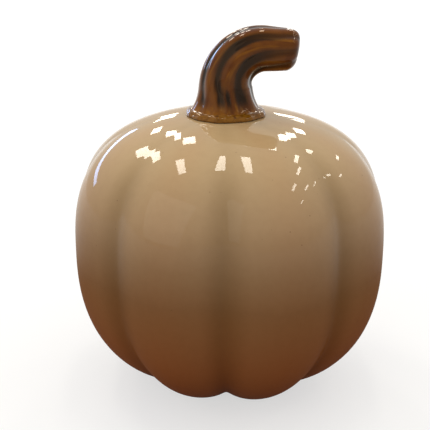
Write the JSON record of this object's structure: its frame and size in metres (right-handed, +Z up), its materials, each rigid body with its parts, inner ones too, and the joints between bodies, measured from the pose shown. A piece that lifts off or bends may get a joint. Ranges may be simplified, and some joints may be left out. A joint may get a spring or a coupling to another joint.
{
  "type": "ceramic pumpkin figure",
  "caption": "Hollow glazed ceramic pumpkin with rounded lobes and a hooked brown stem luted to its crown, standing on felt discs.",
  "frame": {"origin": "on the surface that the figure stands on, below the middle of the body", "axes": "+Z up, front of the figure towards -Y, the stem hooks towards +X"},
  "size_m": [0.1845, 0.1852, 0.2187],
  "materials": {
    "cream_glaze": "high-gloss clear glaze over a cream body",
    "stem_glaze": "high-gloss brown glaze, amber on the ridges and near black in the flutes",
    "slip_glaze": "glossy amber-brown glaze over the luting slip",
    "felt": "matt pressed wool felt"
  },
  "bodies": {
    "root": {"body_shell": "cream_glaze", "stem": "stem_glaze", "slip_joint": "slip_glaze", "felt_pad_1": "felt", "felt_pad_2": "felt", "felt_pad_3": "felt", "felt_pad_4": "felt"}
  },
  "joints": []
}
